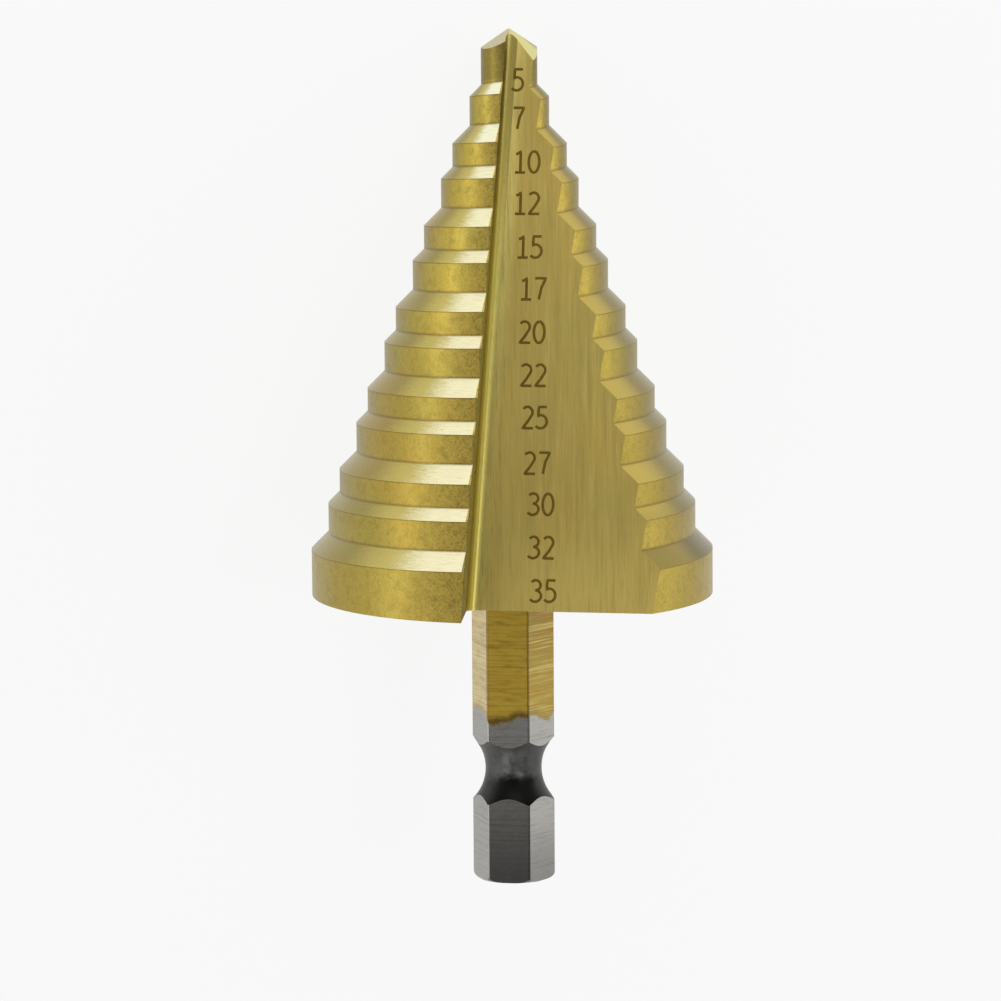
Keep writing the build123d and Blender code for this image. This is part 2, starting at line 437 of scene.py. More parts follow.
def chamfer_finish(look):
    """The chamfers between the steps: a painted highlight, pale as ground metal, behind the cutting edge,
    coated further round with painted light and shade in bands.
    """
    finish = new_finish("ground_chamfer")
    place = finish.drill_place()
    x, y, z = finish.parts_of(place)
    behind = behind_edge(finish, x, y)
    lines = finish.noise(finish.joined(x * 0.06, y * 0.06, z), 16.0, detail=3.0, roughness=0.7)
    grain = finish.noise(place, 7.0, detail=4.0, roughness=0.7)
    # The film with painted light and shade in bands round the lobe, then the painted highlight behind the
    # cutting edge, stronger on the upper chamfers and fading out through a bright film colour, and painted
    # shade in the inner corners.
    film = film_clouds(finish, place, look.chamfer_color)
    film = finish.mix(finish.ramp(grain, 0.5, 0.75) * 0.4, film, shaded(look.chamfer_color, 0.65))
    raised = finish.ramp(z, FOOT + 5.5, FOOT + 9.5)
    pale = shaded(look.chamfer_color, 1.85, 1.8, 1.55)
    lobe_end = finish.mix(raised, shaded(look.chamfer_color, 0.98), pale)
    film = finish.mix(finish.ramp(behind, 98.0, 116.0) * 0.8, film, lobe_end)
    shade_tint = shaded(look.chamfer_color, 0.74, 0.75, 0.68)
    far = finish.mix(raised, shaded(look.chamfer_color, 0.45), shade_tint)
    film = finish.mix(finish.band(behind, 68.0, 84.0, 96.0, 108.0) * 0.9, film, far)
    upper = finish.ramp(z, FOOT + 32.0, FOOT + 43.0)
    ground_highlight = finish.mix(upper * 0.8, look.edge_color, shaded(look.edge_color, 1.12, 1.14, 1.25))
    ground_highlight = finish.mix(finish.ramp(lines, 0.45, 0.75) * 0.3, ground_highlight, look.chamfer_color)
    wear_and_highlight = behind + (grain - 0.5) * 14.0 + (lines - 0.5) * 10.0 - upper * 6.0
    color = finish.mix(finish.ramp(wear_and_highlight, 24.0, 42.0), look.bright_color, film)
    color = finish.mix(finish.ramp(wear_and_highlight, 10.0, 25.0), ground_highlight, color)
    corner = inner_corners(finish, z + behind * AXIAL_RELIEF_PER_DEGREE, 0.12) * (0.3 + grain * 0.5)
    color = finish.mix(corner, color, look.brown_color)
    relief = lines * 0.6 + grain * 0.4
    roughness = look.ground_roughness + (lines - 0.5) * 0.12
    finish.metal(color, roughness, finish.bump(relief, 0.004 * MM))
    return finish.owner


def number_face_finish(look):
    """The wide wall of a flute, brushed along the drill."""
    finish = new_finish("brushed_number_face")
    place = finish.drill_place()
    x, y, z = finish.parts_of(place)
    hair_place = finish.joined(x, y * 0.2, z * 0.012)
    hair = finish.noise(hair_place, 9.0, detail=3.0, roughness=0.7)
    streak = finish.noise(hair_place, 3.0, detail=4.0, roughness=0.7)
    band = finish.noise(hair_place, 0.8, detail=2.0)
    # Painted light at the foot, along the valley and beside its round, painted shade near the point, then
    # the brush marks.
    color = film_clouds(finish, place, look.face_color)
    color = finish.mix(finish.ramp(band, 0.4, 0.65) * 0.5, color, shaded(look.face_color, 0.9, 0.88, 0.85))
    low = 1.0 - finish.ramp(z, FOOT + 1.0, FOOT + 9.0)
    color = finish.mix(low * 0.8, color, shaded(look.face_color, 1.28))
    valley = 1.0 - finish.ramp(from_rake(finish, x, y, z), 0.6, 5.0)
    high = finish.ramp(z, FOOT + 34.0, FOOT + 43.0)
    middle = finish.ramp(z, FOOT + 15.0, FOOT + 26.0)
    pale = shaded(look.face_color, 1.55, 1.58, 1.6)
    color = finish.mix(valley * (0.75 - middle * 0.5 - high * 0.2), color, pale)
    color = finish.mix(high * 0.35, color, shaded(look.face_color, 0.75))
    close = 1.0 - finish.ramp(from_rake(finish, x, y, z), FLUTE_RADIUS, FLUTE_RADIUS * 2.6)
    color = finish.mix(close * (0.9 - high * 0.4), color, shaded(look.face_color, 1.9, 1.95, 2.2))
    color = finish.mix(finish.ramp(streak, 0.5, 0.72) * 0.5, color, shaded(look.face_color, 1.25, 1.25, 1.4))
    color = finish.mix(finish.ramp(0.55 - streak, 0.03, 0.25) * 0.5, color, shaded(look.face_color, 0.75))
    color = finish.mix(finish.ramp(hair, 0.5, 0.72) * 0.35, color, shaded(look.face_color, 0.66))
    relief = hair * 0.4 + streak * 0.6
    roughness = look.face_roughness + (streak - 0.5) * 0.16
    finish.metal(color, roughness, finish.bump(relief, 0.012 * MM))
    return finish.owner


def rake_finish(look):
    """The rake face under the cutting edges, finely ground across the drill."""
    finish = new_finish("ground_rake")
    place = finish.drill_place()
    x, y, z = finish.parts_of(place)
    color = film_clouds(finish, place, look.rake_color)
    lines = finish.noise(finish.joined(x * 0.1, y * 0.1, z), 9.0, detail=4.0, roughness=0.7)
    color = finish.mix(finish.ramp(lines, 0.45, 0.75) * 0.5, color, shaded(look.rake_color, 0.6))
    finish.metal(color, look.ground_roughness + 0.04, finish.bump(lines, 0.005 * MM))
    return finish.owner


def root_finish(look):
    """The round valley of a flute, polished by the grinding wheel's corner, in a pale colour that is partly
    a painted highlight.
    """
    finish = new_finish("polished_root")
    place = finish.drill_place()
    x, y, z = finish.parts_of(place)
    color = film_clouds(finish, place, look.root_color)
    lines = finish.noise(finish.joined(x, y, z * 0.03), 8.0, detail=3.0)
    away = from_rake(finish, x, y, z)
    high = finish.ramp(z, FOOT + 28.0, FOOT + 46.0)
    inward = 1.0 - finish.ramp(away, FLUTE_RADIUS * 0.1, FLUTE_RADIUS * 0.6)
    outward = finish.ramp(away, FLUTE_RADIUS * 0.45, FLUTE_RADIUS * 0.95)
    # Painted shade towards the point and by the rake face, and a painted highlight by the number face on the
    # lower steps; then the grinding lines.
    color = finish.mix(high * 0.75, color, shaded(look.face_color, 0.85))
    color = finish.mix(inward * (0.5 + high * 0.3), color, shaded(look.rake_color, 0.8))
    color = finish.mix(outward * high * 0.7, color, shaded(look.face_color, 0.62))
    color = finish.mix(outward * (0.3 - high * 0.3), color, (1.0, 0.9, 0.36))
    color = finish.mix(finish.ramp(lines, 0.5, 0.75) * 0.25, color, look.rake_color)
    roughness = look.ground_roughness + outward * 0.22 + inward * 0.08
    finish.metal(color, roughness, finish.bump(lines, 0.003 * MM))
    return finish.owner


def point_finish(look):
    """The facets of the point, freshly ground and pale with a painted highlight. The heel facets are the
    brightest, a painted highlight.
    """
    finish = new_finish("ground_point")
    place = finish.drill_place()
    x, y, z = finish.parts_of(place)
    heel = finish.band(behind_edge(finish, x, y), 70.0, 75.0, 158.0, 166.0)
    lines = finish.noise(finish.joined(x * 0.2, y * 1.4, z), 12.0, detail=3.0)
    color = film_clouds(finish, place, look.chamfer_color)
    ground_highlight = shaded(look.edge_color, 0.76, 0.78, 0.78)
    color = finish.mix(0.4 + finish.ramp(lines, 0.35, 0.7) * 0.3, color, ground_highlight)
    heel_highlight = shaded(look.edge_color, 0.82, 0.82, 0.56)
    color = finish.mix(heel * (0.9 - lines * 0.2), color, heel_highlight)
    finish.metal(color, look.ground_roughness, finish.bump(lines, 0.002 * MM))
    return finish.owner


def base_finish(look):
    """The flat back of the steps, turned in rings about the shank."""
    finish = new_finish("turned_base")
    place = finish.drill_place()
    x, y, z = finish.parts_of(place)
    radius = finish.math("SQRT", x * x + y * y)
    rings = finish.noise(finish.joined(radius, z * 0.1, 0.0), 7.0, detail=4.0, roughness=0.7)
    color = film_clouds(finish, place, look.film_color)
    color = finish.mix(finish.ramp(rings, 0.45, 0.75) * 0.5, color, shaded(look.film_color, 0.7))
    finish.metal(color, look.film_roughness, finish.bump(rings, 0.006 * MM))
    return finish.owner


def film_edge(finish, place, mottle, look):
    """How far a place on the shank is above the uneven end of the coating, in millimetres."""
    x, y, z = finish.parts_of(place)
    turn = finish.math("ARCTAN2", y, x)
    turn = turn - math.radians(FILM_WAVE_DIRECTION)
    wave = finish.math("COSINE", turn * FILM_WAVES) * FILM_WAVE_HEIGHT
    rough = (finish.noise(place, 0.6, detail=2.0) - 0.5) * 1.2
    return z - wave - rough - (mottle - 0.5) * 0.5 - look.film_end / MM


def shank_finish(look):
    """The shank: coated near the cone, bare steel about the groove, with a burnt line between."""
    finish = new_finish("shank_steel")
    place = finish.drill_place()
    x, y, z = finish.parts_of(place)
    left = hex_face_share(finish, x, y, HEX_DIRECTION - HEX_TURN)
    middle = hex_face_share(finish, x, y, HEX_DIRECTION)
    right = hex_face_share(finish, x, y, HEX_DIRECTION + HEX_TURN)
    turn = finish.math("ARCTAN2", y, x) * (180.0 / math.pi) - HEX_DIRECTION
    from_face = finish.math("ABSOLUTE", finish.math("WRAP", turn, HEX_TURN / 2, -HEX_TURN / 2))
    corner = finish.ramp(from_face, 27.9, 28.5) * finish.ramp(x * x + y * y, 8.4, 9.6)
    scratches = finish.noise(finish.joined(x * 0.015, y * 0.015, z), 7.0, detail=4.0, roughness=0.7)
    short = finish.noise(finish.joined(x * 0.2, y * 0.2, z), 3.0, detail=4.0, roughness=0.6)
    mottle = finish.noise(place, 2.6, detail=5.0, roughness=0.7)
    # The film, with painted light and shade of its own on each face of the hexagon: pale on the left face, a
    # richer gold on the middle one, and painted shade on the right face, darker towards the cone.
    film = film_clouds(finish, place, shaded(look.shank_film_color, 0.62, 0.68, 0.9))
    film = finish.mix(left * 0.85, film, shaded(look.shank_film_color, 0.93, 1.16, 3.1))
    film = finish.mix(middle, film, shaded(look.shank_film_color, 1.43, 1.42, 1.0))
    shade_tint = shaded(look.shank_film_color, 0.6, 0.65, 0.7)
    deep_shade_tint = shaded(look.shank_film_color, 0.38, 0.4, 0.5)
    film = finish.mix(right * 0.85, film, finish.mix(finish.ramp(z, 16.0, 25.0), shade_tint, deep_shade_tint))
    wear_and_highlight = shaded(look.shank_film_color, 0.45, 0.35, 0.25)
    film = finish.mix(finish.ramp(short, 0.45, 0.7) * 0.4, film, wear_and_highlight)
    reddish = shaded(look.shank_film_color, 0.62, 0.3, 0.15)
    film = finish.mix(finish.ramp(scratches, 0.48, 0.66) * 0.35, film, reddish)
    clear = finish.ramp(0.52 - scratches, 0.02, 0.2) * (0.36 - middle * 0.3)
    film = finish.mix(clear, film, (1.0, 0.82, 0.36))
    # Painted shade along the hexagon's corners and just below the cone, in the burnt line's colour.
    film = finish.mix(corner * (0.8 - right), film, look.burnt_color)
    touching = finish.ramp(z + (short - 0.5) * 0.5, FOOT - 0.7, FOOT - 0.1)
    film = finish.mix(touching * 0.6, film, look.burnt_color)
    # The bare steel, with painted light: paler towards the groove on the middle face, lighter on the left
    # face and higher up on the right face; painted shade along the corners.
    rise = finish.ramp(z, 1.0, 13.0, smooth=False)
    steel = finish.mix(rise, shaded(look.steel_color, 0.78), shaded(look.steel_color, 2.1))
    steel = finish.mix(1.0 - middle, steel, look.steel_color)
    steel = finish.mix(left * 0.9, steel, shaded(look.steel_color, 1.1))
    paler = finish.mix(finish.ramp(z, 0.5, 7.0), look.steel_color, shaded(look.steel_color, 1.6))
    steel = finish.mix(right * 0.9, steel, paler)
    steel = finish.mix(finish.ramp(scratches, 0.5, 0.72) * 0.3, steel, (0.02, 0.02, 0.02))
    steel = finish.mix(finish.ramp(short, 0.5, 0.75) * 0.3, steel, shaded(look.steel_color, 0.6))
    steel = finish.mix(corner * 0.45, steel, shaded(look.steel_color, 0.4))
    # The uneven end of the film and the burnt line along it.
    above = film_edge(finish, place, mottle, look) + middle * 0.35
    coated = finish.ramp(above, -0.2, 0.25)
    burnt = coated * (1.0 - finish.ramp(above, 0.1, 0.9)) * (0.3 + middle * 0.55)
    color = finish.mix(coated, steel, film)
    color = finish.mix(burnt, color, look.burnt_color)
    roughness = look.steel_roughness + coated * (look.film_roughness - look.steel_roughness)
    roughness = roughness + (mottle - 0.5) * 0.1
    finish.metal(color, roughness, finish.bump(scratches * 0.7 + short * 0.3, 0.003 * MM))
    return finish.owner


def groove_finish(look):
    """The chuck groove, dark grey, with painted shade that makes its lower slope blackest and painted
    highlights on its upper slope.
    """
    finish = new_finish("darkened_groove")
    place = finish.drill_place()
    x, y, z = finish.parts_of(place)
    mottle = finish.noise(place, 2.2, detail=5.0, roughness=0.65)
    radius = finish.math("SQRT", x * x + y * y)
    turn = math.radians(GROOVE_SHADE_DIRECTION)
    towards = (x * math.cos(turn) + y * math.sin(turn)) / radius
    # Painted shade that blackens the lower slope, most in the groove's shading direction.
    edge = z + (mottle - 0.5) * 0.8 - finish.ramp(towards, 0.5, 1.0) * 0.35
    lower = 1.0 - finish.ramp(edge, GROOVE_CENTRE - 1.2, GROOVE_CENTRE)
    pale = shaded(look.groove_color, 1.3)
    color = finish.mix(finish.ramp(mottle, 0.45, 0.7) * 0.4, look.groove_color, pale)
    # Painted highlights on the upper slope, in the shading direction and on the side that faces the camera.
    upper = finish.band(z - GROOVE_CENTRE, -1.0, 0.0, 0.9, 2.4)
    wear_and_highlight = finish.ramp(towards, 0.72, 0.96) * upper * 0.4
    color = finish.mix(wear_and_highlight, color, shaded(look.groove_color, 2.2))
    bare = finish.ramp(-y / radius, 0.9, 0.995) * upper * 0.8
    color = finish.mix(bare, color, shaded(look.groove_color, 3.4))
    color = finish.mix(finish.ramp(0.5 - mottle, 0.0, 0.16) * 0.4, color, shaded(look.groove_color, 0.6))
    color = finish.mix(lower * (0.5 + finish.ramp(towards, 0.5, 0.9) * 0.48), color, look.black_color)
    finish.metal(color, 0.42 + (mottle - 0.5) * 0.2, finish.bump(mottle, 0.006 * MM))
    return finish.owner


def number_finish(look):
    """Laser-burnt strokes, a dark brown oxide."""
    finish = new_finish("laser_mark")
    place = finish.drill_place()
    speckle = finish.noise(place, 12.0, detail=3.0, roughness=0.7)
    color = finish.mix(finish.ramp(speckle, 0.4, 0.7) * 0.6, look.mark_color, shaded(look.mark_color, 1.8))
    inputs = {
        "Base Color": color,
        "Roughness": 0.6 + (speckle - 0.5) * 0.2,
        "Metallic": 0.9,
        "Normal": finish.bump(speckle, 0.003 * MM),
    }
    surface = finish.node("ShaderNodeBsdfPrincipled", None, inputs)
    finish.node("ShaderNodeOutputMaterial", None, {"Surface": surface})
    return finish.owner


BODY_FINISHES = {
    "land": land_finish,
    "chamfer": chamfer_finish,
    "number_face": number_face_finish,
    "rake": rake_finish,
    "root": root_finish,
    "point": point_finish,
    "base": base_finish,
    "shank": shank_finish,
    "groove": groove_finish,
}


def surface_at(centre, normal):
    """The name of the surface of the drill that a face belongs to, in the drill's frame."""
    height = centre.z / MM
    outward = Vector((centre.x, centre.y, 0.0))
    if height < FOOT - SLACK:
        at_groove = abs(height - GROOVE_CENTRE) < GROOVE_HALF_LENGTH
        sunk = normal.dot(outward) / MM < GROOVE_WITHIN
        return "groove" if at_groove and (sunk or abs(normal.z) > GROOVE_RISE) else "shank"
    if normal.z < BASE_RISE:
        return "base"
    for side in (1, -1):
        turned = Vector((normal.x * side, normal.y * side, normal.z))
        place = Vector((centre.x * side, centre.y * side, centre.z - FOOT * MM))
        to_number = turned.dot(NUMBER_NORMAL)
        to_rake = turned.dot(RAKE_NORMAL)
        if to_number > ON_WALL:
            return "number_face"
        if to_rake > ON_WALL:
            return "rake"
        off_rake = place.dot(RAKE_NORMAL) / MM + RAKE_OFFSET
        off_number = place.dot(NUMBER_NORMAL) / MM - NUMBER_FACE_OFFSET
        between = min(to_number, to_rake) > IN_VALLEY and abs(normal.z) < CHAMFER_RISE
        near = -SLACK < off_rake < VALLEY_REACH + SLACK and off_number < VALLEY_REACH + SLACK
        if between and near:
            return "root"
    if height > POINT_START and normal.z > POINT_RISE:
        return "point"
    return "chamfer" if normal.z > CHAMFER_RISE else "land"


def add_piece(name, mesh):
    """Links a finished mesh as a piece that rides with the drill."""
    piece = bpy.data.objects.new(name, mesh)
    bpy.context.scene.collection.objects.link(piece)
    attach(piece, "root")
    return piece


def drill_body(look):
    """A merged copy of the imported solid, smooth between its sharp edges, a finish on each surface."""
    shape = bmesh.new()
    shape.from_mesh(frame["nodes"]["step_drill"].data)
    bmesh.ops.remove_doubles(shape, verts=shape.verts, dist=look.merge_distance)
    bmesh.ops.dissolve_limit(
        shape, angle_limit=FLAT_ANGLE, verts=shape.verts, edges=shape.edges
    )
    for edge in shape.edges:
        edge.smooth = len(edge.link_faces) == 2 and edge.calc_face_angle() <= look.sharp_angle
    for face in shape.faces:
        face.smooth = True
    finishes = list(BODY_FINISHES)
    to_drill = LAID.inverted()
    turn = to_drill.to_3x3()
    shape.normal_update()
    for face in shape.faces:
        centre = to_drill @ face.calc_center_median()
        face.material_index = finishes.index(surface_at(centre, turn @ face.normal))
    mesh = bpy.data.meshes.new("drill_body")
    shape.to_mesh(mesh)
    shape.free()
    for make in BODY_FINISHES.values():
        mesh.materials.append(make(look))
    return mesh


# The digits, as strokes in a box that is one high: straight runs of points, and bows, each with a
# centre, two radii and the angles that it runs between.
DIGIT_STROKES = {
    "0": [[("bow", 0.28, 0.5, 0.25, 0.5, 90, 450)]],
    "1": [[(0.09, 0.86), (0.2, 0.9), (0.31, 1.0), (0.31, 0.0)], [(0.06, 0.0), (0.54, 0.0)]],
    "2": [[("bow", 0.26, 0.74, 0.24, 0.26, 145, -28), (0.3, 0.33), (0.04, 0.0), (0.54, 0.0)]],
    "3": [
        [("bow", 0.25, 0.765, 0.23, 0.235, 145, -90)],
        [("bow", 0.23, 0.265, 0.28, 0.265, 90, -145)],
    ],
    "5": [[(0.5, 1.0), (0.13, 1.0), (0.1, 0.56), ("bow", 0.22, 0.31, 0.29, 0.31, 100, -140)]],
    "7": [[(0.04, 1.0), (0.54, 1.0), (0.34, 0.55), (0.24, 0.0)]],
}


def stroke_points(stroke, bow_step=12):
    """The points of a stroke, with each bow worked out."""
    points = []
    for place in stroke:
        if place[0] != "bow":
            points.append(place)
            continue
        middle_x, middle_y, radius_x, radius_y, start, end = place[1:]
        count = max(3, round(abs(end - start) / bow_step))
        for number in range(count + 1):
            turn = math.radians(start + (end - start) * number / count)
            across = middle_x + radius_x * math.cos(turn)
            points.append((across, middle_y + radius_y * math.sin(turn)))
    return points


def divided(points, longest=0.08):
    """The same line with more points on its long runs."""
    line = [points[0]]
    for start, end in zip(points, points[1:]):
        count = math.ceil(math.dist(start, end) / longest)
        for number in range(1, count + 1):
            share = number / count
            line.append(tuple(a + (b - a) * share for a, b in zip(start, end)))
    return line


def number_mesh(number, marks):
    """A number as rounded strokes lying in its own plane, in metres."""
    line = bpy.data.curves.new("stroke", "CURVE")
    line.dimensions = "3D"
    line.bevel_depth = marks.stroke_width / 2
    line.bevel_resolution = 3
    line.use_fill_caps = True
    for place, digit in enumerate(str(number)):
        for stroke in DIGIT_STROKES[digit]:
            points = divided(stroke_points(stroke))
            spline = line.splines.new("POLY")
            spline.points.add(len(points) - 1)
            for point, (across, up) in zip(spline.points, points):
                left = place * marks.digit_advance
                point.co = (left + across * marks.digit_height, up * marks.digit_height, 0.0, 1.0)
    holder = bpy.data.objects.new("stroke", line)
    bpy.context.scene.collection.objects.link(holder)
    bpy.context.view_layer.update()
    mesh = bpy.data.meshes.new_from_object(holder)
    bpy.data.objects.remove(holder)
    bpy.data.curves.remove(line)
    flat = marks.mark_thickness / marks.stroke_width
    mesh.transform(Matrix.Diagonal((1.0, 1.0, flat, 1.0)))
    return mesh


def number_place(left, middle, marks):
    """The matrix that lays a number on its wall, from its left side and its middle height."""
    across = facing(NUMBER_FACE_DIRECTION + 90, 0)
    upward = NUMBER_NORMAL.cross(across)
    foot_middle = Vector((0, 0, FOOT * MM)) + NUMBER_NORMAL * NUMBER_FACE_OFFSET * MM
    bottom = middle * MM - marks.digit_height / 2
    placed = Matrix((across, upward, NUMBER_NORMAL)).transposed().to_4x4()
    placed.translation = foot_middle + across * left * MM + upward * bottom
    return LAID @ placed


def lay_on_body(mesh, body):
    """Lifts a mark off its wall where the body's surface rises from it, as in a flute's valley."""
    outward = LAID.to_3x3() @ NUMBER_NORMAL
    foot_middle = LAID @ (Vector((0, 0, FOOT * MM)) + NUMBER_NORMAL * NUMBER_FACE_OFFSET * MM)
    for corner in mesh.vertices:
        above = corner.co + outward * (foot_middle - corner.co).dot(outward)
        start = above + outward * SEARCH_ABOVE * MM
        hit = body.ray_cast(start, -outward, SEARCH_DEPTH * MM)[0]
        if hit is not None:
            corner.co += outward * max(0.0, (hit - above).dot(outward))


def aimed(location, target):
    """The matrix of a lamp at a place, turned to a target and upright."""
    back = (location - target).normalized()
    right = Vector((0, 0, 1)).cross(back).normalized()
    placed = Matrix((right, back.cross(right), back)).transposed().to_4x4()
    placed.translation = location
    return placed


def floor_finish(color, whiteness):
    """A pale floor that the camera and the metal see nearly white, with the drill's soft shadow."""
    finish = new_finish("pale_floor")
    matte = finish.node("ShaderNodeBsdfDiffuse", None, {"Color": color})
    white = finish.node("ShaderNodeEmission", None, {"Color": (1.0, 1.0, 1.0), "Strength": 1.0})
    camera = finish.node("ShaderNodeLightPath", output="Is Camera Ray")
    glossy = finish.node("ShaderNodeLightPath", output="Is Glossy Ray")
    through = finish.node("ShaderNodeLightPath", output="Is Transmission Ray")
    seen = finish.math("MAXIMUM", camera, finish.math("MAXIMUM", glossy, through))
    surface = finish.node("ShaderNodeMixShader", None, {0: seen * whiteness, 1: matte, 2: white})
    finish.node("ShaderNodeOutputMaterial", None, {"Surface": surface})
    return finish.owner


def studio_world(stage):
    """White round the horizon and for the camera, and dimmer towards the ceiling."""
    finish = Finish(bpy.data.worlds.new("studio"))
    direction = finish.node("ShaderNodeTexCoord", output="Generated")
    rise = finish.parts_of(direction)[2]
    ceiling = finish.ramp(rise, CEILING_START, CEILING_FULL)
    level = 1.0 + ceiling * (stage.ceiling_level - 1.0)
    camera = finish.node("ShaderNodeLightPath", output="Is Camera Ray")
    level = level + camera * (1.0 - level)
    sky = finish.node("ShaderNodeBackground", None, {"Strength": level})
    finish.node("ShaderNodeOutputWorld", None, {"Surface": sky})
    return finish.owner


def softbox(name, location, target, size, power):
    """A rectangular lamp that the camera doesn't see."""
    lamp = bpy.data.lights.new(name, "AREA")
    lamp.shape = "RECTANGLE"
    lamp.size, lamp.size_y = size
    lamp.energy = power
    holder = bpy.data.objects.new(name, lamp)
    bpy.context.scene.collection.objects.link(holder)
    holder.matrix_world = aimed(location, target)
    holder.visible_camera = False


class DrillLook(bpy.types.PropertyGroup):
    """Colours and finishes of the drill."""

    film_color: FloatVectorProperty(
        name="Film", description="Coating on the lands", subtype="COLOR", default=(0.385, 0.293, 0.062)
    )
    face_color: FloatVectorProperty(
        name="Number face", description="Coating on the wide walls", subtype="COLOR",
        default=(0.56, 0.43, 0.12)
    )
    chamfer_color: FloatVectorProperty(
        name="Chamfers", description="Coating on the chamfers", subtype="COLOR", default=(0.34, 0.265, 0.07)
    )
    # A painted highlight, pale as ground metal, by the cutting edges and on the point.
    edge_color: FloatVectorProperty(
        name="Fresh edges", description="Ground metal by the edges", subtype="COLOR",
        default=(1.0, 0.93, 0.6)
    )
    # The painted highlight fading into the film.
    bright_color: FloatVectorProperty(
        name="Bright film", description="Where the fresh metal fades out", subtype="COLOR",
        default=(0.58, 0.48, 0.135)
    )
    # Browned film by the cutting edges, and painted shade in the corners.
    brown_color: FloatVectorProperty(
        name="Brown", description="Browned film in corners and by the edges", subtype="COLOR",
        default=(0.19, 0.12, 0.026)
    )
    rake_color: FloatVectorProperty(
        name="Rake", description="Coating on the rake faces", subtype="COLOR", default=(0.222, 0.188, 0.062)
    )
    # Partly a painted highlight in the valleys.
    root_color: FloatVectorProperty(
        name="Flute root", description="Coating in the valleys", subtype="COLOR", default=(0.66, 0.55, 0.125)
    )
    shank_film_color: FloatVectorProperty(
        name="Shank film", description="Coating on the shank", subtype="COLOR", default=(0.7, 0.48, 0.1)
    )
    steel_color: FloatVectorProperty(
        name="Steel", description="Bare steel of the shank", subtype="COLOR", default=(0.31, 0.3, 0.28)
    )
    # The burnt line where the coating ends, and painted shade along the hexagon's corners and below the
    # cone.
    burnt_color: FloatVectorProperty(
        name="Burnt line", description="Where the coating ends", subtype="COLOR", default=(0.12, 0.07, 0.025)
    )
    groove_color: FloatVectorProperty(
        name="Groove", description="Upper slope of the groove", subtype="COLOR",
        default=(0.09, 0.092, 0.085)
    )
    # Painted shade on the lower slope of the groove.
    black_color: FloatVectorProperty(
        name="Groove black", description="Lower slope of the groove", subtype="COLOR",
        default=(0.01, 0.01, 0.009)
    )
    mark_color: FloatVectorProperty(
        name="Marks", description="Step numbers", subtype="COLOR", default=(0.185, 0.12, 0.018)
    )
    film_roughness: FloatProperty(
        name="Film roughness", description="Roughness of the coated lands", subtype="FACTOR",
        default=0.36, min=0.0, max=1.0
    )
    face_roughness: FloatProperty(
        name="Face roughness", description="Roughness of the number face", subtype="FACTOR",
        default=0.4, min=0.0, max=1.0
    )
    ground_roughness: FloatProperty(
        name="Ground roughness", description="Roughness of ground metal", subtype="FACTOR",
        default=0.28, min=0.0, max=1.0
    )
    steel_roughness: FloatProperty(
        name="Steel roughness", description="Roughness of the bare steel", subtype="FACTOR",
        default=0.26, min=0.0, max=1.0
    )
    film_end: FloatProperty(
        name="Film end", description="Height on the shank where the coating ends",
        default=14.7 * MM, unit="LENGTH"
    )
    merge_distance: FloatProperty(
        name="Merge distance", description="How near corners are merged",
        default=0.0005 * MM, unit="LENGTH"
    )
    sharp_angle: FloatProperty(
        name="Sharp angle", description="Edges sharper than this stay crisp",
        default=math.radians(18), subtype="ANGLE"
    )


class DrillMarks(bpy.types.PropertyGroup):
    """Sizes of the step numbers."""

    digit_height: FloatProperty(
        name="Height", description="Height of a digit between stroke middles",
        default=1.82 * MM, unit="LENGTH"
    )
    stroke_width: FloatProperty(
        name="Stroke", description="Width of a stroke", default=0.235 * MM, unit="LENGTH"
    )
    digit_advance: FloatProperty(
        name="Advance", description="From one digit to the next", default=1.22 * MM, unit="LENGTH"
    )
    mark_thickness: FloatProperty(
        name="Thickness", description="Thickness of a mark, half of it sunk",
        default=0.012 * MM, unit="LENGTH"
    )


class DrillStage(bpy.types.PropertyGroup):
    """Camera, lamps and floor."""

    lens: FloatProperty(name="Lens", description="Focal length", default=153.0, unit="CAMERA")
    camera_back: FloatProperty(
        name="Camera back", description="From the axis to the camera", default=366.0 * MM, unit="LENGTH"
    )
    camera_height: FloatProperty(
        name="Camera height", description="Above the shank's end, along the axis",
        default=83.3 * MM, unit="LENGTH"
    )
    camera_pitch: FloatProperty(
        name="Pitch", description="How far the camera looks down", default=0.1359, subtype="ANGLE"
    )
    camera_roll: FloatProperty(
        name="Roll", description="Turn about the line of sight", default=-0.0069, subtype="ANGLE"
    )
    camera_yaw: FloatProperty(
        name="Yaw", description="Turn to the right", default=-0.0027, subtype="ANGLE"
    )
    floor_color: FloatVectorProperty(
        name="Floor", description="Colour of the floor", subtype="COLOR", default=(0.9, 0.9, 0.9)
    )
    floor_whiteness: FloatProperty(
        name="Whiteness", description="How far the floor is seen as white", subtype="FACTOR",
        default=0.88, min=0.0, max=1.0
    )
    ceiling_level: FloatProperty(name="Ceiling", description="Brightness overhead", default=0.1, min=0.0)
    left_power: FloatProperty(
        name="Left lamp", description="Power of the lamp", default=0.12, min=0.0, unit="POWER"
    )
    right_power: FloatProperty(
        name="Right lamp", description="Power of the lamp", default=0.15, min=0.0, unit="POWER"
    )
    point_power: FloatProperty(
        name="Point lamp", description="Power of the lamp", default=0.22, min=0.0, unit="POWER"
    )
    top_power: FloatProperty(
        name="Top lamp", description="Power of the lamp", default=0.13, min=0.0, unit="POWER"
    )


class StepDrillSettings(bpy.types.PropertyGroup):
    """Everything that a user would change."""

    look: PointerProperty(type=DrillLook, name="Look", description="Colours and finishes")
    marks: PointerProperty(type=DrillMarks, name="Marks", description="Step numbers")
    stage: PointerProperty(type=DrillStage, name="Stage", description="Camera, lamps and floor")


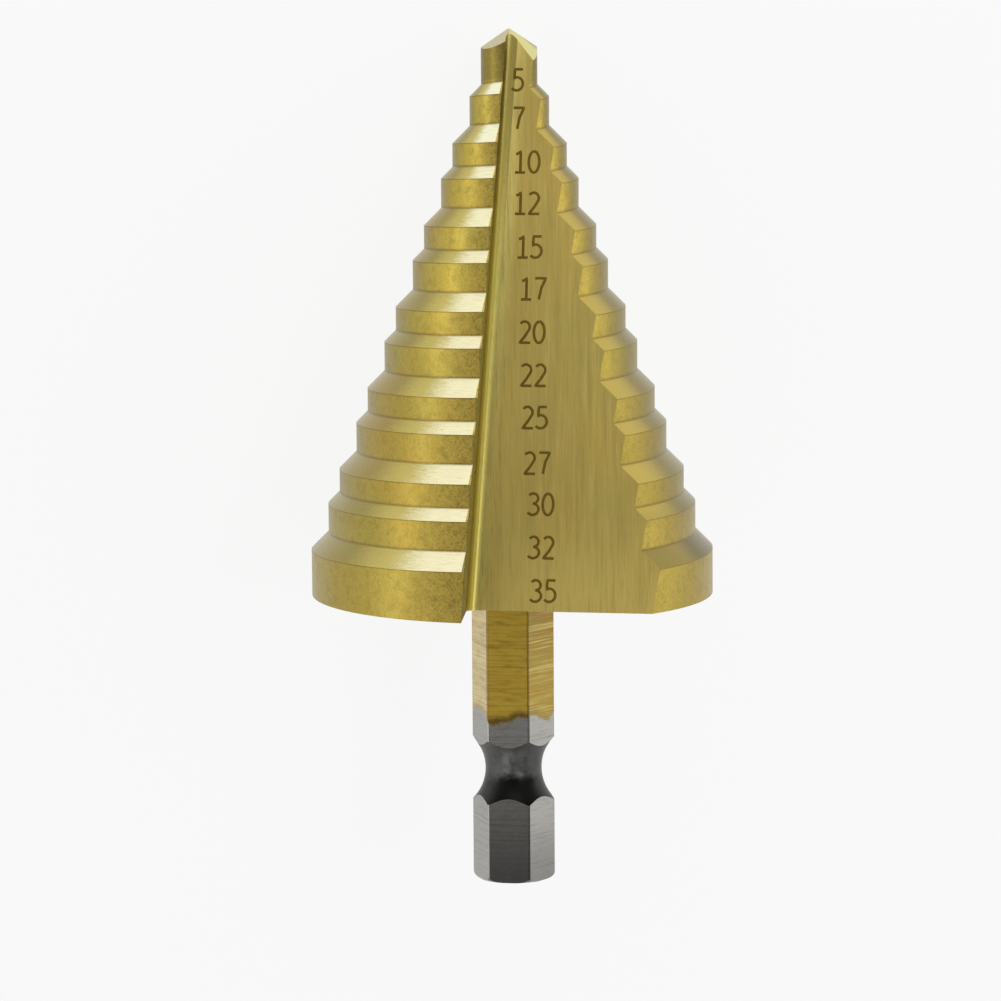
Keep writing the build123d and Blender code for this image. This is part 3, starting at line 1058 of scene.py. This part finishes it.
class STEPDRILL_OT_body(bpy.types.Operator):
    """Finishes the body of the drill, surface by surface"""

    bl_idname = "step_drill.body"
    bl_label = "Finish Body"

    def execute(self, context):
        piece = add_piece("drill_body", drill_body(context.scene.step_drill.look))
        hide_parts("step_drill")
        return {"FINISHED"}


class STEPDRILL_OT_numbers(bpy.types.Operator):
    """Marks the step numbers on the wide wall of the upper flute"""

    bl_idname = "step_drill.numbers"
    bl_label = "Mark Numbers"

    def execute(self, context):
        settings = context.scene.step_drill
        material = number_finish(settings.look)
        drill = bpy.data.objects["drill_body"].data
        faces = [tuple(face.vertices) for face in drill.polygons]
        body = BVHTree.FromPolygons([corner.co for corner in drill.vertices], faces)
        for number, (left, middle) in STEP_NUMBERS.items():
            mesh = number_mesh(number, settings.marks)
            mesh.transform(number_place(left, middle, settings.marks))
            lay_on_body(mesh, body)
            mesh.materials.clear()
            mesh.materials.append(material)
            add_piece("step_number_%d" % number, mesh)
        return {"FINISHED"}


class STEPDRILL_OT_stage(bpy.types.Operator):
    """Sets up the pale floor, the lamps and the camera"""

    bl_idname = "step_drill.stage"
    bl_label = "Set Stage"

    def execute(self, context):
        scene = context.scene
        stage = scene.step_drill.stage
        low, high = CAD_BOX
        middle = (low + high) / 2
        reach = (high - low).length
        self.lay_floor(stage, reach)
        self.light(scene, stage, middle, reach)
        self.place_camera(scene, stage)
        scene.view_settings.view_transform = "Standard"
        return {"FINISHED"}

    @staticmethod
    def lay_floor(stage, reach):
        """A square of pale floor, far wider than the camera's view."""
        shape = bmesh.new()
        bmesh.ops.create_grid(shape, x_segments=1, y_segments=1, size=reach * FLOOR_REACH)
        mesh = bpy.data.meshes.new("floor")
        shape.to_mesh(mesh)
        shape.free()
        mesh.materials.append(floor_finish(stage.floor_color, stage.floor_whiteness))
        floor = bpy.data.objects.new("floor", mesh)
        bpy.context.scene.collection.objects.link(floor)

    @staticmethod
    def light(scene, stage, middle, reach):
        """The sky, and the lamps turned to the middle of the drill."""
        scene.world = studio_world(stage)
        for name, (place, sides) in SOFTBOXES.items():
            location = middle + Vector(place) * reach
            size = [side * reach for side in sides]
            softbox(name + "_softbox", location, middle, size, getattr(stage, name + "_power"))

    @staticmethod
    def place_camera(scene, stage):
        """The camera, set in the drill's own frame and laid down with it."""
        lens = bpy.data.cameras.new("camera")
        lens.lens = stage.lens
        lens.sensor_width = SENSOR_WIDTH
        lens.clip_start = NEAREST_SEEN
        lens.clip_end = FURTHEST_SEEN
        camera = bpy.data.objects.new("camera", lens)
        scene.collection.objects.link(camera)
        look = Vector((
            math.sin(stage.camera_yaw) * math.cos(stage.camera_pitch),
            math.cos(stage.camera_yaw) * math.cos(stage.camera_pitch),
            -math.sin(stage.camera_pitch),
        ))
        level = Vector((math.cos(stage.camera_yaw), -math.sin(stage.camera_yaw), 0.0))
        upright = level.cross(look)
        right = level * math.cos(stage.camera_roll) + upright * math.sin(stage.camera_roll)
        placed = Matrix((right, right.cross(look), -look)).transposed().to_4x4()
        placed.translation = Vector((0.0, -stage.camera_back, stage.camera_height))
        camera.matrix_world = LAID @ placed
        scene.camera = camera


class STEPDRILL_PT_sidebar(bpy.types.Panel):
    """Step drill settings and operators"""

    bl_idname = "STEPDRILL_PT_sidebar"
    bl_label = "Step Drill"
    bl_space_type = "VIEW_3D"
    bl_region_type = "UI"
    bl_category = "Step Drill"

    def draw(self, context):
        settings = context.scene.step_drill
        for group in (settings.look, settings.marks, settings.stage):
            box = self.layout.box()
            for name in group.__annotations__:
                box.prop(group, name)
        for operator in (STEPDRILL_OT_body, STEPDRILL_OT_numbers, STEPDRILL_OT_stage):
            self.layout.operator(operator.bl_idname)


CLASSES = (
    DrillLook,
    DrillMarks,
    DrillStage,
    StepDrillSettings,
    STEPDRILL_OT_body,
    STEPDRILL_OT_numbers,
    STEPDRILL_OT_stage,
    STEPDRILL_PT_sidebar,
)


def register():
    """Makes the settings, the operators and the panel known."""
    for cls in CLASSES:
        bpy.utils.register_class(cls)
    bpy.types.Scene.step_drill = PointerProperty(
        type=StepDrillSettings, name="Step Drill", description="Step drill settings"
    )


def unregister():
    """Takes back what register() made known."""
    del bpy.types.Scene.step_drill
    for cls in reversed(CLASSES):
        bpy.utils.unregister_class(cls)


def main():
    """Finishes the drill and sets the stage."""
    register()
    bpy.ops.step_drill.body()
    bpy.ops.step_drill.numbers()
    bpy.ops.step_drill.stage()


if __name__ == "__main__":
    main()
